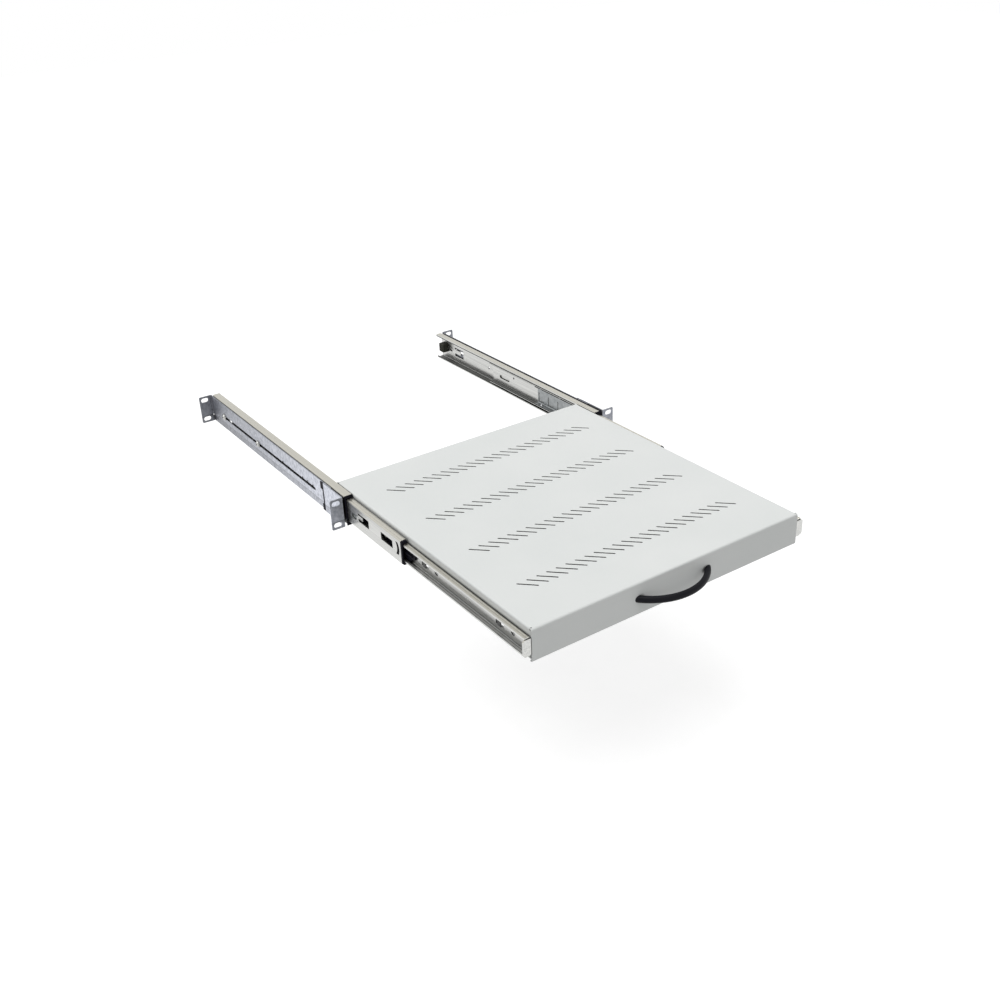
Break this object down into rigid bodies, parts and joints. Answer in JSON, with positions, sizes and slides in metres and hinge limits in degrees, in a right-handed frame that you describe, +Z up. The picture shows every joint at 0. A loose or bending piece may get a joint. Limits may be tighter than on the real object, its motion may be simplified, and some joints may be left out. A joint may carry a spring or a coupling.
{
  "type": "sliding rack drawer",
  "caption": "Vented steel pull-out shelf on telescopic ball-bearing slides with rack ears, depth-adjustable rear brackets and a black bow handle.",
  "frame": {"origin": "centre of the four front ear slots, on the ears' rack-side face", "axes": "+X to the right seen from the front, +Y towards the rear of the rack, +Z up; the drawer opens along -Y"},
  "size_m": [0.4826, 0.887, 0.0445],
  "materials": {
    "powder_coat": "fine-textured light grey powder coat",
    "zinc_plate": "bright zinc plating",
    "slide_zinc": "bright zinc plating",
    "cage_steel": "bright steel strip",
    "ball_steel": "polished steel",
    "screw_zinc": "zinc plated",
    "black_plastic": "satin",
    "handle_black": "satin",
    "bumper_rubber": "matt"
  },
  "bodies": {
    "rails": {"outer_member_left": "zinc_plate", "outer_member_right": "zinc_plate", "front_ear_left": "zinc_plate", "front_ear_right": "zinc_plate", "guide_clip_left": "black_plastic", "guide_clip_right": "black_plastic", "rear_bumper_left": "bumper_rubber", "rear_bumper_right": "bumper_rubber", "mouth_trim_left": "black_plastic", "mouth_trim_right": "black_plastic", "clamp_screws": "screw_zinc", "clamp_washers": "screw_zinc"},
    "drawer": {"tray": "powder_coat", "handle": "handle_black", "handle_screws": "screw_zinc", "inner_member_left": "slide_zinc", "inner_member_right": "slide_zinc", "lever_pins": "screw_zinc"},
    "middle_slide_left": {"middle_member_left": "slide_zinc", "end_retainer_left": "black_plastic"},
    "outer_balls_run_left": {"outer_ball_cage_left": "cage_steel", "outer_balls_left": "ball_steel"},
    "inner_balls_run_left": {"inner_ball_cage_left": "cage_steel", "inner_balls_left": "ball_steel"},
    "lever_left": {"release_lever_left": "black_plastic"},
    "bracket_left": {"rear_bracket_left": "zinc_plate"},
    "middle_slide_right": {"middle_member_right": "slide_zinc", "end_retainer_right": "black_plastic"},
    "outer_balls_run_right": {"outer_ball_cage_right": "cage_steel", "outer_balls_right": "ball_steel"},
    "inner_balls_run_right": {"inner_ball_cage_right": "cage_steel", "inner_balls_right": "ball_steel"},
    "lever_right": {"release_lever_right": "black_plastic"},
    "bracket_right": {"rear_bracket_right": "zinc_plate"}
  },
  "joints": [
    {"name": "drawer_slide", "type": "slide", "parent": "rails", "child": "drawer", "axis": [0, -1, 0], "range_m": [-0.402, 0.045]},
    {"name": "middle_travel_left", "type": "slide", "parent": "rails", "child": "middle_slide_left", "axis": [0, -1, 0], "range_m": [-0.14501, 0.01624]},
    {"name": "outer_ball_travel_left", "type": "slide", "parent": "rails", "child": "outer_balls_run_left", "axis": [0, -1, 0], "range_m": [-0.07251, 0.00813]},
    {"name": "inner_ball_travel_left", "type": "slide", "parent": "rails", "child": "inner_balls_run_left", "axis": [0, -1, 0], "range_m": [-0.27351, 0.03063]},
    {"name": "lever_turn_left", "type": "hinge", "parent": "drawer", "child": "lever_left", "pos_m": [-0.2074, -0.092, -0.001], "axis": [-1, 0, 0], "range_deg": [0, 3], "stiffness_Nm_per_rad": 0.6},
    {"name": "bracket_depth_left", "type": "slide", "parent": "rails", "child": "bracket_left", "axis": [0, 1, 0], "range_m": [-0.006, 0.185]},
    {"name": "middle_travel_right", "type": "slide", "parent": "rails", "child": "middle_slide_right", "axis": [0, -1, 0], "range_m": [-0.14501, 0.01624]},
    {"name": "outer_ball_travel_right", "type": "slide", "parent": "rails", "child": "outer_balls_run_right", "axis": [0, -1, 0], "range_m": [-0.07251, 0.00813]},
    {"name": "inner_ball_travel_right", "type": "slide", "parent": "rails", "child": "inner_balls_run_right", "axis": [0, -1, 0], "range_m": [-0.27351, 0.03063]},
    {"name": "lever_turn_right", "type": "hinge", "parent": "drawer", "child": "lever_right", "pos_m": [0.2074, -0.092, -0.001], "axis": [-1, 0, 0], "range_deg": [0, 3], "stiffness_Nm_per_rad": 0.6},
    {"name": "bracket_depth_right", "type": "slide", "parent": "rails", "child": "bracket_right", "axis": [0, 1, 0], "range_m": [-0.006, 0.185]}
  ],
  "couplings": [
    {"joint": "middle_travel_left", "follows": "drawer_slide", "ratio": 0.3607},
    {"joint": "outer_ball_travel_left", "follows": "drawer_slide", "ratio": 0.18035},
    {"joint": "inner_ball_travel_left", "follows": "drawer_slide", "ratio": 0.68035},
    {"joint": "middle_travel_right", "follows": "drawer_slide", "ratio": 0.3607},
    {"joint": "outer_ball_travel_right", "follows": "drawer_slide", "ratio": 0.18035},
    {"joint": "inner_ball_travel_right", "follows": "drawer_slide", "ratio": 0.68035}
  ]
}
